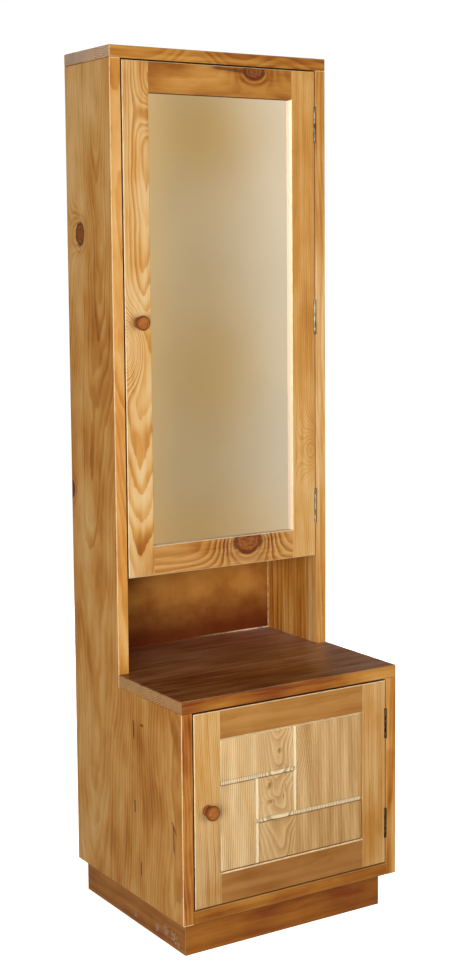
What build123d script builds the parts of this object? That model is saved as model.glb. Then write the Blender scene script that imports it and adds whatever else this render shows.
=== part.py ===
from build123d import *
import os

# Tall narrow pine unit: a base cupboard with a counter, an open niche above it, and a shallow
# upper cupboard whose framed door carries a long mirror.
#
# Frame: +Z up, +X to the right and +Y to the back, seen by someone facing the mirror.
# Origin: on the floor, under the middle of the whole unit's box. All sizes in millimetres.

# ---- driving dimensions ----
height = 1800.0
width = 524.0
depth = 450.0
upper_setback = 252.0         # from the base cupboard's front plane back to the upper one's
board = 25.0
counter_height = 526.0
counter_thickness = 26.0
plinth_height = 75.0
plinth_thickness = 20.0
plinth_side_inset = 22.0
plinth_front_inset = 31.0
niche_top = 724.0             # underside of the mirror door
shelf_thickness = 18.0
back_thickness = 4.0
back_rebate = 12.5
arris = 1.4                   # eased edge of a board

door_gap = 3.0
door_thickness = 22.0
frame_member = 60.0           # stiles of both doors and the lower door's top rail
mirror_rail = 62.0
lower_bottom_rail = 63.0
door_to_counter_gap = 3.5
tenon_length = 30.0
tenon_thickness = 8.0
tenon_shoulder = 8.0

glass_setback = 10.0          # from the door's face to the glass
glass_thickness = 4.0
glass_lap = 8.0               # how far the frame overlaps the glass
glass_slack = 0.5
backing_thickness = 3.0
bead_thickness = 5.0
bead_pin_radius = 0.6
bead_pin_length = 16.0

panel_thickness = 15.0
panel_gap = 1.0               # open joint round the lower door's panel
panel_arris = 0.8
frame_bevel = 2.4             # the frame's bevel round the panel
tongue_thickness = 6.0
tongue_length = 8.0
groove_width = 10.0
groove_depth = 3.6
groove_right_x = 4.5
groove_inset = 89.0           # level grooves, in from the panel's top and bottom edges

knob_reach = 27.0
knob_radius = 15.5
knob_collar_radius = 11.5
knob_collar_height = 3.0
knob_neck_radius = 8.5
knob_neck_height = 9.0
knob_face_radius = 14.0
knob_rim_start = 17.4
knob_dome_rise = 4.2
knob_screw_radius = 1.95
knob_screw_slack = 0.3
knob_screw_grip = 14.0
knob_screw_head = (4.5, 2.6)  # radius and height

hinge_axis_inset = 3.0        # from the side panel's inner face to the pin's axis
barrel_radius = 2.75
pin_radius = 1.2
running_clearance = 0.05
leaf_thickness = 1.2
leaf_width = 20.0
knuckle_count = 5
knuckle_gap = 0.3
mirror_hinge_length = 76.0
lower_hinge_length = 64.0
hinge_recess_slack = 0.3

dowel_radius = 4.0
dowel_length = 40.0
dowel_end_slack = 1.0
dowel_offset = 5.0            # how much deeper a dowel sits in one board than in the other
fixing_clearance = 0.05

screw_head_radius = 3.0
screw_radius = 1.5
screw_point = 3.0
small_screw_length = 13.0
catch_screw_length = 22.0
cross_size = (1.6, 0.35, 1.0)  # half length, half width and depth of a screw's cross

catch_size = (45.0, 15.0, 13.0)
catch_screw_spacing = 36.0
magnet_size = (26.0, 10.0, 6.0)
magnet_proud = 0.7
strike_size = (32.0, 1.5, 9.0)
strike_pin_radius = 1.5
strike_pin_length = 8.0
strike_drop = 2.0             # the strike's middle below the magnet's

shelf_front_gap = 22.0
upper_shelf_heights = (1075.0, 1415.0)
lower_shelf_height = 295.0
shelf_side_gap = 1.0
support_size = (12.0, 5.0, 8.0)
support_peg_radius = 2.5
support_peg_length = 10.0
support_inset = 25.0

block_side = 28.0             # corner blocks in the plinth
block_height = 60.0
block_arris = 2.0

# ---- derived places ----
left_x, right_x = -width / 2, width / 2
inner_x = width / 2 - board
front_y = knob_reach - (depth + knob_reach) / 2
upper_front_y = front_y + upper_setback
back_y = front_y + depth
back_panel_y = back_y - back_thickness
sides_top = height - board
counter_underside = counter_height - counter_thickness
bottom_top = plinth_height + board
door_half = inner_x - door_gap
axis_x = inner_x - hinge_axis_inset

mirror_door = {"y": upper_front_y, "z": (niche_top, sides_top - door_gap)}
lower_door = {"y": front_y, "z": (bottom_top + door_gap, counter_underside - door_to_counter_gap)}
mirror_back_y = upper_front_y + door_thickness
lower_back_y = front_y + door_thickness
stile_inner_x = door_half - frame_member
glass_z = (mirror_door["z"][0] + mirror_rail, mirror_door["z"][1] - mirror_rail)
panel_z = (lower_door["z"][0] + lower_bottom_rail, lower_door["z"][1] - frame_member)
knob_x = -(door_half - frame_member / 2)
mirror_knob_z = sum(mirror_door["z"]) / 2
lower_knob_z = sum(lower_door["z"]) / 2

cabinet_floor_z = (niche_top + 3, niche_top + 3 + board)
cabinet_floor_y = mirror_back_y + 1

# name: (middle height, length, y of the door's front plane)
hinges = {
    "mirror_door_top_hinge": (1660.0, mirror_hinge_length, upper_front_y),
    "mirror_door_middle_hinge": (1248.0, mirror_hinge_length, upper_front_y),
    "mirror_door_bottom_hinge": (835.0, mirror_hinge_length, upper_front_y),
    "lower_door_top_hinge": (404.5, lower_hinge_length, front_y),
    "lower_door_bottom_hinge": (189.0, lower_hinge_length, front_y),
}

os.makedirs("parts", exist_ok=True)


# ---- helpers ----
def save(part, name):
    """Label a finished piece and write it under its own name."""
    part.label = name
    export_step(part, f"parts/{name}.step")


def block(x_span, y_span, z_span, mode=Mode.ADD):
    """A rectangular block between the given limits, in the part being built."""
    (x0, x1), (y0, y1), (z0, z1) = x_span, y_span, z_span
    with BuildSketch(Plane.XY.offset(z0)) as footprint:
        with Locations(((x0 + x1) / 2, (y0 + y1) / 2)):
            Rectangle(x1 - x0, y1 - y0)
    extrude(footprint.sketch, amount=z1 - z0, mode=mode)


def turned(profile, mode=Mode.ADD):
    """A turned solid about the Z axis from (radius, height) corners."""
    with BuildSketch(Plane.XZ) as half_section:
        with BuildLine():
            Polyline(*profile, close=True)
        make_face()
    revolve(half_section.sketch, axis=Axis.Z, mode=mode)


def edges_at(builder, axis, value):
    """The part's edges whose middles lie at one value along an axis."""
    return builder.edges().filter_by_position(axis, value - 0.01, value + 0.01)


def facing(point, direction):
    """The plane of a fixing whose head lies at a point and looks along a direction."""
    return Plane(origin=point, z_dir=direction)


def countersunk(head_radius, shank_radius, length, gap=0.0):
    """A countersunk screw with its head's face at z = 0 and its point downwards."""
    head_height = head_radius - shank_radius
    turned([
        (0, 0),
        (head_radius + gap, 0),
        (shank_radius + gap, -head_height),
        (shank_radius + gap, -length + screw_point),
        (0, -length - gap),
    ])


def cross_recess():
    """The cross in a screw's head."""
    reach, half_width, depth = cross_size
    block((-reach, reach), (-half_width, half_width), (-depth, 0), mode=Mode.SUBTRACT)
    block((-half_width, half_width), (-reach, reach), (-depth, 0), mode=Mode.SUBTRACT)


# ---- fixings, each drawn once at the origin with the hole that takes it ----
with BuildPart() as small_screw:
    countersunk(screw_head_radius, screw_radius, small_screw_length)
    cross_recess()
with BuildPart() as small_screw_hole:
    countersunk(screw_head_radius, screw_radius, small_screw_length, gap=fixing_clearance)

with BuildPart() as catch_screw:
    countersunk(screw_head_radius, screw_radius, catch_screw_length)
    cross_recess()
with BuildPart() as catch_screw_hole:
    countersunk(screw_head_radius, screw_radius, catch_screw_length, gap=fixing_clearance)

with BuildPart() as dowel:
    Cylinder(dowel_radius, dowel_length)
    chamfer(edges(), length=arris)
with BuildPart() as dowel_hole:
    Cylinder(dowel_radius + fixing_clearance, dowel_length + dowel_end_slack)

with BuildPart() as bead_pin:
    Cylinder(bead_pin_radius, bead_pin_length)
with BuildPart() as bead_pin_hole:
    Cylinder(bead_pin_radius + fixing_clearance, bead_pin_length + 0.1)

with BuildPart() as knob_screw_hole:
    Cylinder(knob_screw_radius + knob_screw_slack, 3 * door_thickness)

# ---- where the fixings go ----
side_middle_x = inner_x + board / 2
dowel_planes = []
for side in (-1, 1):
    for y in (upper_front_y + 25, upper_front_y + 99, upper_front_y + 172):
        dowel_planes.append(facing((side * side_middle_x, y, sides_top - dowel_offset), (0, 0, 1)))
    for y in (front_y + 35, front_y + 125, front_y + 215):
        dowel_planes.append(facing((side * side_middle_x, y, counter_underside - dowel_offset), (0, 0, 1)))
    for y in (upper_front_y + 50, upper_front_y + 140):
        z = counter_height - counter_thickness / 2
        dowel_planes.append(facing((side * (inner_x - dowel_offset), y, z), (1, 0, 0)))
    for y in (front_y + 45, front_y + 165, front_y + 285, front_y + 400):
        z = plinth_height + board / 2
        dowel_planes.append(facing((side * (inner_x - dowel_offset), y, z), (1, 0, 0)))
    for y in (cabinet_floor_y + 30, cabinet_floor_y + 90, cabinet_floor_y + 145):
        z = sum(cabinet_floor_z) / 2
        dowel_planes.append(facing((side * (inner_x - dowel_offset), y, z), (1, 0, 0)))

back_screw_planes = []
for side in (-1, 1):
    for z in (130, 290, 450, 600, 830, 1020, 1210, 1400, 1590, 1740):
        x = side * (inner_x + back_rebate / 2)
        back_screw_planes.append(facing((x, back_y, z), (0, 1, 0)))
for z in (
    plinth_height + board / 2,
    counter_height - counter_thickness / 2,
    sum(cabinet_floor_z) / 2,
    sides_top + back_rebate / 2,
):
    for x in (-150, 0, 150):
        back_screw_planes.append(facing((x, back_y, z), (0, 1, 0)))

frame_screw_planes = []
mirror_leaf_screw_planes = []
lower_leaf_screw_planes = []
for name, (z_middle, length, y_front) in hinges.items():
    door_planes = mirror_leaf_screw_planes if name.startswith("mirror") else lower_leaf_screw_planes
    for z in (z_middle - 0.36 * length, z_middle, z_middle + 0.36 * length):
        y = y_front + leaf_width * 0.6
        frame_screw_planes.append(facing((inner_x - leaf_thickness, y, z), (-1, 0, 0)))
        leaf_face = axis_x - hinge_axis_inset + leaf_thickness
        door_planes.append(facing((leaf_face, y, z), (1, 0, 0)))

# ---- outline shared by the two side panels ----
side_outline = [
    (front_y, plinth_height),
    (back_y, plinth_height),
    (back_y, sides_top),
    (upper_front_y, sides_top),
    (upper_front_y, counter_underside),
    (front_y, counter_underside),
]

# ---- shelf supports: a peg in the side and a small ledge under the shelf ----
shelf_front_y = mirror_back_y + shelf_front_gap
lower_shelf_front_y = lower_back_y + shelf_front_gap
shelf_back_y = back_panel_y - 1
shelves = {
    "upper_shelf_lower": (shelf_front_y, upper_shelf_heights[0]),
    "upper_shelf_upper": (shelf_front_y, upper_shelf_heights[1]),
    "lower_cupboard_shelf": (lower_shelf_front_y, lower_shelf_height),
}
support_places = [
    (y, z - support_size[1] / 2)
    for y_front, z in shelves.values()
    for y in (y_front + support_inset, shelf_back_y - support_inset)
]


def support_pegs(radius, length, mode):
    """The round pegs of all shelf supports, going into both sides from their inner faces."""
    for side in (-1, 1):
        with BuildSketch(Plane.YZ.offset(side * inner_x)) as pegs:
            with Locations(*support_places):
                Circle(radius)
        extrude(pegs.sketch, amount=side * length, mode=mode)


# ---- carcass boards ----
for name, side in (("side_panel_left", -1), ("side_panel_right", 1)):
    with BuildPart() as side_panel:
        with BuildSketch(Plane.YZ.offset(side * inner_x)):
            with BuildLine():
                Polyline(*side_outline, close=True)
            make_face()
        extrude(amount=side * board)
        outer_edges = edges_at(side_panel, Axis.X, side * width / 2)
        lower_inner_edge = edges_at(side_panel, Axis.Y, front_y).filter_by(Axis.Z)
        upper_inner_edge = edges_at(side_panel, Axis.Y, upper_front_y).filter_by(Axis.Z)
        chamfer(ShapeList(set(outer_edges + lower_inner_edge + upper_inner_edge)), length=arris)
        rebate_x = sorted((side * inner_x, side * (inner_x + back_rebate)))
        block(rebate_x, (back_panel_y, back_y), (plinth_height, sides_top), mode=Mode.SUBTRACT)
        support_pegs(support_peg_radius + fixing_clearance, support_peg_length + 0.5, Mode.SUBTRACT)
        with Locations(*dowel_planes):
            add(dowel_hole.part, mode=Mode.SUBTRACT)
        with Locations(*back_screw_planes, *(frame_screw_planes if side > 0 else [])):
            add(small_screw_hole.part, mode=Mode.SUBTRACT)
    save(side_panel.part, name)

catch_x = knob_x
catch_setback = strike_size[1] + 1
catches = {
    "mirror_door_catch": (mirror_back_y, sides_top),
    "lower_door_catch": (lower_back_y, counter_underside),
}
catch_x_span = (catch_x - catch_size[0] / 2, catch_x + catch_size[0] / 2)
catch_screw_x = (catch_x - catch_screw_spacing / 2, catch_x + catch_screw_spacing / 2)
catch_screw_planes = {
    name: [
        facing((x, y + catch_setback + catch_size[1] / 2, z - catch_size[2]), (0, 0, -1))
        for x in catch_screw_x
    ]
    for name, (y, z) in catches.items()
}

with BuildPart() as top_panel:
    block((left_x, right_x), (upper_front_y, back_y), (sides_top, height))
    chamfer(top_panel.edges(), length=arris)
    block(
        (-inner_x - back_rebate, inner_x + back_rebate),
        (back_panel_y, back_y),
        (sides_top, sides_top + back_rebate),
        mode=Mode.SUBTRACT,
    )
    with Locations(*dowel_planes):
        add(dowel_hole.part, mode=Mode.SUBTRACT)
    with Locations(*back_screw_planes):
        add(small_screw_hole.part, mode=Mode.SUBTRACT)
    with Locations(*catch_screw_planes["mirror_door_catch"]):
        add(catch_screw_hole.part, mode=Mode.SUBTRACT)
save(top_panel.part, "top_panel")

with BuildPart() as counter_top:
    block((left_x, right_x), (front_y, upper_front_y), (counter_underside, counter_height))
    chamfer(counter_top.edges(), length=arris)
    block((-inner_x, inner_x), (upper_front_y - 20, back_panel_y), (counter_underside, counter_height))
    with Locations(*dowel_planes):
        add(dowel_hole.part, mode=Mode.SUBTRACT)
    with Locations(*back_screw_planes):
        add(small_screw_hole.part, mode=Mode.SUBTRACT)
    with Locations(*catch_screw_planes["lower_door_catch"]):
        add(catch_screw_hole.part, mode=Mode.SUBTRACT)
save(counter_top.part, "counter_top")

with BuildPart() as bottom_panel:
    block((-inner_x, inner_x), (front_y, back_panel_y), (plinth_height, bottom_top))
    chamfer(edges_at(bottom_panel, Axis.Y, front_y).filter_by(Axis.X), length=arris)
    with Locations(*dowel_planes):
        add(dowel_hole.part, mode=Mode.SUBTRACT)
    with Locations(*back_screw_planes):
        add(small_screw_hole.part, mode=Mode.SUBTRACT)
save(bottom_panel.part, "bottom_panel")

with BuildPart() as mirror_cabinet_floor:
    block((-inner_x, inner_x), (cabinet_floor_y, back_panel_y), cabinet_floor_z)
    chamfer(edges_at(mirror_cabinet_floor, Axis.Y, cabinet_floor_y).filter_by(Axis.X), length=arris)
    with Locations(*dowel_planes):
        add(dowel_hole.part, mode=Mode.SUBTRACT)
    with Locations(*back_screw_planes):
        add(small_screw_hole.part, mode=Mode.SUBTRACT)
save(mirror_cabinet_floor.part, "mirror_cabinet_floor")

with BuildPart() as back_panel:
    half = inner_x + back_rebate
    block((-half, half), (back_panel_y, back_y), (plinth_height, sides_top + back_rebate))
    with Locations(*back_screw_planes):
        add(small_screw_hole.part, mode=Mode.SUBTRACT)
save(back_panel.part, "back_panel")

with BuildPart() as back_panel_screws:
    with Locations(*back_screw_planes):
        add(small_screw.part)
save(back_panel_screws.part, "back_panel_screws")

with BuildPart() as carcass_dowels:
    with Locations(*dowel_planes):
        add(dowel.part)
save(carcass_dowels.part, "carcass_dowels")

# ---- plinth: four boards mitred at the corners, with a glued block in each ----
plinth_half = width / 2 - plinth_side_inset
plinth_front_y = front_y + plinth_front_inset
plinth_outer = {
    "left_front": (-plinth_half, plinth_front_y),
    "right_front": (plinth_half, plinth_front_y),
    "right_back": (plinth_half, back_y),
    "left_back": (-plinth_half, back_y),
}
plinth_inner = {
    corner: (x - plinth_thickness * (1 if x > 0 else -1), y - plinth_thickness * (1 if y > 0 else -1))
    for corner, (x, y) in plinth_outer.items()
}
plinth_boards = {
    "plinth_front": ("left_front", "right_front"),
    "plinth_right": ("right_front", "right_back"),
    "plinth_back": ("right_back", "left_back"),
    "plinth_left": ("left_back", "left_front"),
}
for name, (start, end) in plinth_boards.items():
    with BuildPart() as plinth_board:
        with BuildSketch(Plane.XY):
            with BuildLine():
                Polyline(
                    plinth_outer[start],
                    plinth_outer[end],
                    plinth_inner[end],
                    plinth_inner[start],
                    close=True,
                )
            make_face()
        extrude(amount=plinth_height)
        outer_corners = [
            edge
            for edge in plinth_board.edges().filter_by(Axis.Z)
            if (round(edge.center().X, 3), round(edge.center().Y, 3)) in plinth_outer.values()
        ]
        chamfer(outer_corners, length=arris / 2)
    save(plinth_board.part, name)

with BuildPart() as plinth_corner_blocks:
    block_x = plinth_half - plinth_thickness - block_side / 2
    block_y_front = plinth_front_y + plinth_thickness + block_side / 2
    block_y_back = back_y - plinth_thickness - block_side / 2
    with BuildSketch(Plane.XY.offset(plinth_height)):
        with Locations(*[(side * block_x, y) for side in (-1, 1) for y in (block_y_front, block_y_back)]):
            Rectangle(block_side, block_side)
    extrude(amount=-block_height)
    chamfer(plinth_corner_blocks.edges().filter_by(Axis.Z), length=block_arris)
save(plinth_corner_blocks.part, "plinth_corner_blocks")

# ---- loose shelves and their supports ----
shelf_half = inner_x - shelf_side_gap
for name, (y, z) in shelves.items():
    with BuildPart() as shelf:
        block((-shelf_half, shelf_half), (y, shelf_back_y), (z, z + shelf_thickness))
        chamfer(edges_at(shelf, Axis.Y, y).filter_by(Axis.X), length=arris)
    save(shelf.part, name)

with BuildPart() as shelf_supports:
    for side in (-1, 1):
        with BuildSketch(Plane.YZ.offset(side * inner_x)):
            with Locations(*support_places):
                Rectangle(support_size[0], support_size[1])
        extrude(amount=-side * support_size[2])
    support_pegs(support_peg_radius, support_peg_length, Mode.ADD)
save(shelf_supports.part, "shelf_supports")

# ---- hinges ----
for name, (z_middle, length, y_front) in hinges.items():
    pitch = length / knuckle_count
    z_low = z_middle - length / 2
    plate_y = (y_front + barrel_radius + 0.4, y_front + leaf_width)
    frame_x = (inner_x - leaf_thickness, inner_x)
    door_x = (axis_x - hinge_axis_inset, axis_x - hinge_axis_inset + leaf_thickness)
    leaves = {
        "frame_leaf": (frame_x, (frame_x[0], axis_x + barrel_radius), range(0, knuckle_count, 2)),
        "door_leaf": (door_x, (axis_x - barrel_radius, door_x[1]), range(1, knuckle_count, 2)),
    }
    for leaf_name, (plate_x, web_x, knuckles) in leaves.items():
        with BuildPart() as leaf:
            block(plate_x, plate_y, (z_low, z_low + length))
            for index in knuckles:
                z_start = z_low + index * pitch + knuckle_gap / 2
                z_end = z_start + pitch - knuckle_gap
                block(web_x, (y_front, plate_y[0] + 0.5), (z_start, z_end))
                with BuildSketch(Plane.XY.offset(z_start)):
                    with Locations((axis_x, y_front)):
                        Circle(barrel_radius)
                extrude(amount=z_end - z_start)
            with BuildSketch(Plane.XY.offset(z_low - 1)):
                with Locations((axis_x, y_front)):
                    Circle(pin_radius + running_clearance)
            extrude(amount=length + 2, mode=Mode.SUBTRACT)
            with Locations(*frame_screw_planes, *mirror_leaf_screw_planes, *lower_leaf_screw_planes):
                add(small_screw_hole.part, mode=Mode.SUBTRACT)
        save(leaf.part, f"{name}_{leaf_name}")

    with BuildPart() as pin:
        with BuildSketch(Plane.XY.offset(z_low)):
            with Locations((axis_x, y_front)):
                Circle(pin_radius)
        extrude(amount=length)
        chamfer(pin.edges(), length=0.3)
    save(pin.part, f"{name}_pin")

hinge_screws = {
    "hinge_frame_screws": frame_screw_planes,
    "mirror_door_hinge_screws": mirror_leaf_screw_planes,
    "lower_door_hinge_screws": lower_leaf_screw_planes,
}
for name, planes in hinge_screws.items():
    with BuildPart() as screws:
        with Locations(*planes):
            add(small_screw.part)
    save(screws.part, name)


def hinge_recesses(prefix):
    """The notches in a hinge stile's edge that take the barrels and the door leaves."""
    for hinge_name, (z_middle, length, y_front) in hinges.items():
        if hinge_name.startswith(prefix):
            half = length / 2 + hinge_recess_slack
            block(
                (axis_x - hinge_axis_inset, door_half + 1),
                (y_front - 1, y_front + leaf_width + 0.5),
                (z_middle - half, z_middle + half),
                mode=Mode.SUBTRACT,
            )


# ---- magnetic catches ----
for name, (y, z) in catches.items():
    case_y = y + catch_setback
    case_z = (z - catch_size[2], z)
    middle_z = z - catch_size[2] / 2
    magnet_z = (middle_z - magnet_size[2] / 2, middle_z + magnet_size[2] / 2)
    magnet_x = (catch_x - magnet_size[0] / 2, catch_x + magnet_size[0] / 2)
    magnet_y = (case_y - magnet_proud, case_y - magnet_proud + magnet_size[1])
    with BuildPart() as case:
        block(catch_x_span, (case_y, case_y + catch_size[1]), case_z)
        fillet(case.edges().filter_by(Axis.Z), radius=2.0)
        block(magnet_x, (case_y - 1, magnet_y[1]), magnet_z, mode=Mode.SUBTRACT)
        with Locations(*catch_screw_planes[name]):
            add(catch_screw_hole.part, mode=Mode.SUBTRACT)
    save(case.part, f"{name}_case")

    with BuildPart() as magnet:
        block(magnet_x, magnet_y, magnet_z)
        chamfer(magnet.faces().sort_by(Axis.Y)[0].edges(), length=0.4)
    save(magnet.part, f"{name}_magnet")

    strike_z = middle_z - strike_drop
    with BuildPart() as strike:
        block(
            (catch_x - strike_size[0] / 2, catch_x + strike_size[0] / 2),
            (y, y + strike_size[1]),
            (strike_z - strike_size[2] / 2, strike_z + strike_size[2] / 2),
        )
        fillet(strike.edges().filter_by(Axis.Y), radius=2.0)
        with BuildSketch(Plane.XZ.offset(-y)):
            with Locations((catch_x, strike_z)):
                Circle(strike_pin_radius)
        extrude(amount=strike_pin_length)
    save(strike.part, f"{name}_strike")

with BuildPart() as catch_screws:
    with Locations(*[plane for planes in catch_screw_planes.values() for plane in planes]):
        add(catch_screw.part)
save(catch_screws.part, "catch_screws")


def strike_hole(name):
    """The blind hole in a stile for the strike's pin."""
    y, z = catches[name]
    with BuildSketch(Plane.XZ.offset(-y)) as bore:
        with Locations((catch_x, z - catch_size[2] / 2 - strike_drop)):
            Circle(strike_pin_radius + fixing_clearance)
    extrude(bore.sketch, amount=strike_pin_length + 0.2, mode=Mode.SUBTRACT)


def tenons(y_front, z_spans, gap, mode):
    """Stub tenons at the ends of a door's rails, or with a gap the mortises for them."""
    y_low = y_front + (door_thickness - tenon_thickness) / 2
    for z0, z1 in z_spans:
        for side in (-1, 1):
            x_span = sorted((side * stile_inner_x, side * (stile_inner_x + tenon_length + gap)))
            block(x_span, (y_low - gap, y_low + tenon_thickness + gap), (z0 - gap, z1 + gap), mode)


def ease_outline(builder, y_front, z_span):
    """Ease a door member's front edges where they lie on the door's outline."""
    outline = [
        edge
        for edge in edges_at(builder, Axis.Y, y_front)
        if abs(abs(edge.center().X) - door_half) < 0.01
        or min(abs(edge.center().Z - z) for z in z_span) < 0.01
    ]
    chamfer(outline, length=arris)


# ---- mirror door ----
mirror_y = (upper_front_y, mirror_back_y)
mirror_z = mirror_door["z"]
mirror_tenon_spans = {
    "bottom": (mirror_z[0] + tenon_shoulder, glass_z[0] - glass_lap - 4),
    "top": (glass_z[1] + glass_lap + 4, mirror_z[1] - tenon_shoulder),
}
with BuildPart() as glass_housing:
    # The eased mouth round the glass and the rebate behind it.
    with BuildSketch(Plane.XZ.offset(-upper_front_y)):
        with Locations((0, sum(glass_z) / 2)):
            Rectangle(2 * (stile_inner_x + arris), glass_z[1] - glass_z[0] + 2 * arris)
    extrude(amount=-arris, taper=45)
    block(
        (-stile_inner_x - glass_lap, stile_inner_x + glass_lap),
        (upper_front_y + glass_setback, mirror_back_y),
        (glass_z[0] - glass_lap, glass_z[1] + glass_lap),
    )
bead_pin_planes = []
bead_middle_y = mirror_back_y - bead_thickness / 2
bead_pin_x = stile_inner_x + bead_pin_length / 2
for side in (-1, 1):
    for fraction in (0.08, 0.36, 0.64, 0.92):
        z = glass_z[0] + fraction * (glass_z[1] - glass_z[0])
        bead_pin_planes.append(facing((side * bead_pin_x, bead_middle_y, z), (1, 0, 0)))
    for edge, outward in zip(glass_z, (-1, 1)):
        z = edge + outward * bead_pin_length / 2
        bead_pin_planes.append(facing((side * stile_inner_x / 2, bead_middle_y, z), (0, 0, 1)))

for name, side in (("mirror_door_knob_stile", -1), ("mirror_door_hinge_stile", 1)):
    with BuildPart() as stile:
        block(sorted((side * stile_inner_x, side * door_half)), mirror_y, mirror_z)
        ease_outline(stile, upper_front_y, mirror_z)
        add(glass_housing.part, mode=Mode.SUBTRACT)
        tenons(upper_front_y, mirror_tenon_spans.values(), fixing_clearance, Mode.SUBTRACT)
        with Locations(*bead_pin_planes):
            add(bead_pin_hole.part, mode=Mode.SUBTRACT)
        if side > 0:
            hinge_recesses("mirror")
            with Locations(*mirror_leaf_screw_planes):
                add(small_screw_hole.part, mode=Mode.SUBTRACT)
        else:
            strike_hole("mirror_door_catch")
            with Locations(facing((knob_x, mirror_back_y, mirror_knob_z), (0, 1, 0))):
                add(knob_screw_hole.part, mode=Mode.SUBTRACT)
    save(stile.part, name)

mirror_rails = {
    "mirror_door_bottom_rail": ((mirror_z[0], glass_z[0]), mirror_tenon_spans["bottom"]),
    "mirror_door_top_rail": ((glass_z[1], mirror_z[1]), mirror_tenon_spans["top"]),
}
for name, (z_span, tenon_span) in mirror_rails.items():
    with BuildPart() as rail:
        block((-stile_inner_x, stile_inner_x), mirror_y, z_span)
        ease_outline(rail, upper_front_y, mirror_z)
        add(glass_housing.part, mode=Mode.SUBTRACT)
        tenons(upper_front_y, [tenon_span], 0, Mode.ADD)
        with Locations(*bead_pin_planes):
            add(bead_pin_hole.part, mode=Mode.SUBTRACT)
    save(rail.part, name)

glass_half = stile_inner_x + glass_lap - glass_slack
glass_span_z = (glass_z[0] - glass_lap + glass_slack, glass_z[1] + glass_lap - glass_slack)
glass_y = (upper_front_y + glass_setback, upper_front_y + glass_setback + glass_thickness)
with BuildPart() as mirror_glass:
    block((-glass_half, glass_half), glass_y, glass_span_z)
save(mirror_glass.part, "mirror_glass")

with BuildPart() as mirror_backing_board:
    block((-glass_half, glass_half), (glass_y[1], glass_y[1] + backing_thickness), glass_span_z)
save(mirror_backing_board.part, "mirror_backing_board")

with BuildPart() as mirror_beads:
    bead_y = (mirror_back_y - bead_thickness, mirror_back_y)
    recess_x = stile_inner_x + glass_lap
    recess_z = (glass_z[0] - glass_lap, glass_z[1] + glass_lap)
    block((-recess_x, -stile_inner_x), bead_y, recess_z)
    block((stile_inner_x, recess_x), bead_y, recess_z)
    block((-stile_inner_x + 0.1, stile_inner_x - 0.1), bead_y, (recess_z[0], glass_z[0]))
    block((-stile_inner_x + 0.1, stile_inner_x - 0.1), bead_y, (glass_z[1], recess_z[1]))
    with Locations(*bead_pin_planes):
        add(bead_pin_hole.part, mode=Mode.SUBTRACT)
save(mirror_beads.part, "mirror_beads")

with BuildPart() as mirror_bead_pins:
    with Locations(*bead_pin_planes):
        add(bead_pin.part)
save(mirror_bead_pins.part, "mirror_bead_pins")

# ---- lower door ----
lower_y = (front_y, lower_back_y)
lower_z = lower_door["z"]
groove_reach = tongue_length + 1
tongue_y = (front_y + panel_thickness - tongue_thickness, front_y + panel_thickness)
lower_tenon_spans = {
    "bottom": (lower_z[0] + tenon_shoulder, panel_z[0] - groove_reach - 4),
    "top": (panel_z[1] + groove_reach + 4, lower_z[1] - tenon_shoulder),
}

with BuildPart() as panel_housing:
    # The bevelled mouth round the panel and the groove that holds its tongue.
    with BuildSketch(Plane.XZ.offset(-front_y)):
        with Locations((0, sum(panel_z) / 2)):
            Rectangle(2 * (stile_inner_x + frame_bevel), panel_z[1] - panel_z[0] + 2 * frame_bevel)
    extrude(amount=-frame_bevel, taper=45)
    block(
        (-stile_inner_x - groove_reach, stile_inner_x + groove_reach),
        (tongue_y[0] - fixing_clearance, tongue_y[1] + fixing_clearance),
        (panel_z[0] - groove_reach, panel_z[1] + groove_reach),
    )

for name, side in (("lower_door_knob_stile", -1), ("lower_door_hinge_stile", 1)):
    with BuildPart() as stile:
        block(sorted((side * stile_inner_x, side * door_half)), lower_y, lower_z)
        ease_outline(stile, front_y, lower_z)
        tenons(front_y, lower_tenon_spans.values(), fixing_clearance, Mode.SUBTRACT)
        add(panel_housing.part, mode=Mode.SUBTRACT)
        if side > 0:
            hinge_recesses("lower")
            with Locations(*lower_leaf_screw_planes):
                add(small_screw_hole.part, mode=Mode.SUBTRACT)
        else:
            strike_hole("lower_door_catch")
            with Locations(facing((knob_x, lower_back_y, lower_knob_z), (0, 1, 0))):
                add(knob_screw_hole.part, mode=Mode.SUBTRACT)
    save(stile.part, name)

lower_rails = {
    "lower_door_bottom_rail": ((lower_z[0], panel_z[0]), lower_tenon_spans["bottom"]),
    "lower_door_top_rail": ((panel_z[1], lower_z[1]), lower_tenon_spans["top"]),
}
for name, (z_span, tenon_span) in lower_rails.items():
    with BuildPart() as rail:
        block((-stile_inner_x, stile_inner_x), lower_y, z_span)
        ease_outline(rail, front_y, lower_z)
        tenons(front_y, [tenon_span], 0, Mode.ADD)
        add(panel_housing.part, mode=Mode.SUBTRACT)
    save(rail.part, name)

# Four coved grooves turn round a middle field like a pinwheel.
groove_left_x = -stile_inner_x / 2
groove_high_z = panel_z[1] - groove_inset
groove_low_z = panel_z[0] + groove_inset
panel_half = stile_inner_x - panel_gap
panel_edges_z = (panel_z[0] + panel_gap, panel_z[1] - panel_gap)
# (plane the groove starts from, its length, place of its middle line in that plane)
level_starts = {groove_high_z: (-stile_inner_x, groove_right_x), groove_low_z: (groove_left_x, stile_inner_x)}
upright_starts = {groove_right_x: (groove_low_z, panel_z[1]), groove_left_x: (panel_z[0], groove_high_z)}


def coved_section(middle, depth_axis_first):
    """The face of a groove's section: its mouth on the door's front and an arc behind it."""
    mouth = [(middle - groove_width / 2, front_y), (middle + groove_width / 2, front_y)]
    bottom = (middle, front_y + groove_depth)
    if depth_axis_first:
        mouth = [point[::-1] for point in mouth]
        bottom = bottom[::-1]
    Line(*mouth)
    ThreePointArc(mouth[0], bottom, mouth[1])


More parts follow.
